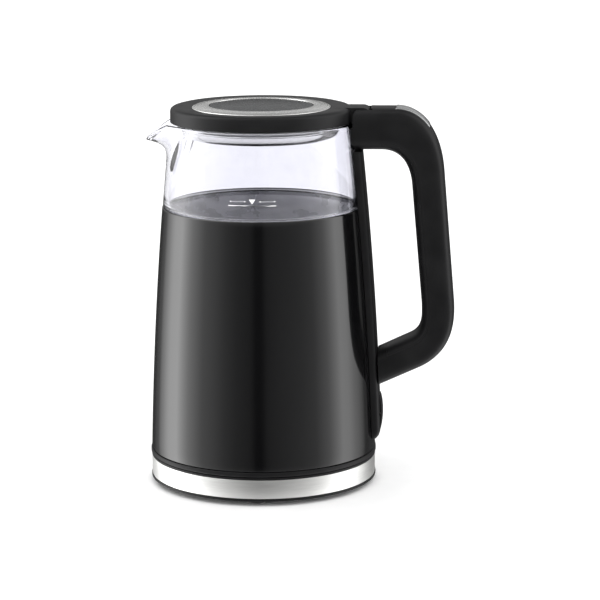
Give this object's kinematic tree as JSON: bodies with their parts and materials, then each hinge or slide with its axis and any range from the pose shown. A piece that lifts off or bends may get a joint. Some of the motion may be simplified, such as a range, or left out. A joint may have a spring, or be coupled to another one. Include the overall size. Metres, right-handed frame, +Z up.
{
  "type": "cordless electric kettle",
  "caption": "Cordless kettle: clear glass jar with beak spout, gloss black jacket, D handle, hinged steel-ringed lid, on a round power base with a steel band.",
  "frame": {"origin": "on the kettle's axis, at the height of the table that the feet stand on", "axes": "+Z up, +X from the kettle's axis towards the handle, the spout along -X, the power cord's outlet on the +Y side"},
  "size_m": [0.2028, 0.1522, 0.2523],
  "materials": {
    "gloss_black": "moulded, high gloss",
    "satin_black": "moulded, fine satin",
    "steel": "brushed stainless",
    "brass": "bright",
    "rubber": "matte",
    "silicone": "translucent satin",
    "clear_glass": "clear, polished",
    "smoked_cap": "dark grey, satin gloss",
    "aluminium": "as cast",
    "ceramic": "glass-filled, matte"
  },
  "bodies": {
    "power_base": {"base_bottom_cover": "satin_black", "base_top_cover": "satin_black", "base_trim_band": "steel", "base_screw_1": "steel", "base_screw_2": "steel", "base_screw_3": "steel", "base_foot_1": "rubber", "base_foot_2": "rubber", "base_foot_3": "rubber", "base_foot_4": "rubber", "cord_gland": "rubber", "base_connector": "satin_black", "base_pin_contact": "brass", "base_ring_contact": "brass"},
    "connector": {"kettle_connector": "satin_black", "kettle_pin_contact": "brass", "kettle_ring_contact": "brass"},
    "kettle": {"outer_jacket": "gloss_black", "under_cover": "satin_black", "body_collar": "satin_black", "under_screw_1": "steel", "under_screw_2": "steel", "under_screw_3": "steel", "heating_plate": "steel", "plate_seal": "silicone", "heat_spreader": "aluminium", "heating_element": "aluminium", "element_terminal_1": "brass", "element_terminal_2": "brass", "dry_boil_disc": "brass", "control_block": "ceramic", "steam_switch": "satin_black", "glass_jar": "clear_glass", "handle_strip": "satin_black", "handle_shell": "satin_black", "handle_grip_cover": "satin_black", "handle_screw_1": "steel", "handle_screw_2": "steel", "hinge_pin": "steel", "steam_tube": "silicone", "steam_drop_tube": "silicone", "switch_pin": "steel"},
    "lid": {"lid_shell": "satin_black", "lid_trim_ring": "steel", "lid_centre_cap": "smoked_cap", "lid_liner": "steel", "lid_seal": "silicone"},
    "button": {"release_button": "steel"},
    "latch": {"lid_latch": "satin_black"},
    "rocker": {"power_switch": "gloss_black"},
    "link": {"switch_link": "ceramic"}
  },
  "joints": [
    {"name": "lift_off", "type": "slide", "parent": "power_base", "child": "connector", "axis": [0, 0, 1], "range_m": [0, 0.04]},
    {"name": "swivel", "type": "hinge", "parent": "connector", "child": "kettle", "pos_m": [0, 0, 0.02], "axis": [0, 0, 1], "continuous": true},
    {"name": "lid_hinge", "type": "hinge", "parent": "kettle", "child": "lid", "pos_m": [0.0665, 0, 0.2441], "axis": [0, 1, 0], "range_deg": [0, 75]},
    {"name": "button_press", "type": "slide", "parent": "kettle", "child": "button", "axis": [-0.53, 0, -0.848], "range_m": [0, 0.0025], "stiffness_N_per_m": 400, "springref_m": -0.002},
    {"name": "latch_slide", "type": "slide", "parent": "kettle", "child": "latch", "axis": [1, 0, 0], "range_m": [0, 0.0021]},
    {"name": "switch_rock", "type": "hinge", "parent": "kettle", "child": "rocker", "pos_m": [0.07783, 0, 0.046], "axis": [0, 1, 0], "range_deg": [0, 8]},
    {"name": "link_slide", "type": "slide", "parent": "kettle", "child": "link", "axis": [-1, 0, 0], "range_m": [0, 0.0015]}
  ],
  "couplings": [
    {"joint": "latch_slide", "follows": "button_press", "ratio": 0.8},
    {"joint": "switch_rock", "follows": "link_slide", "rad_per_m": 92.85}
  ]
}
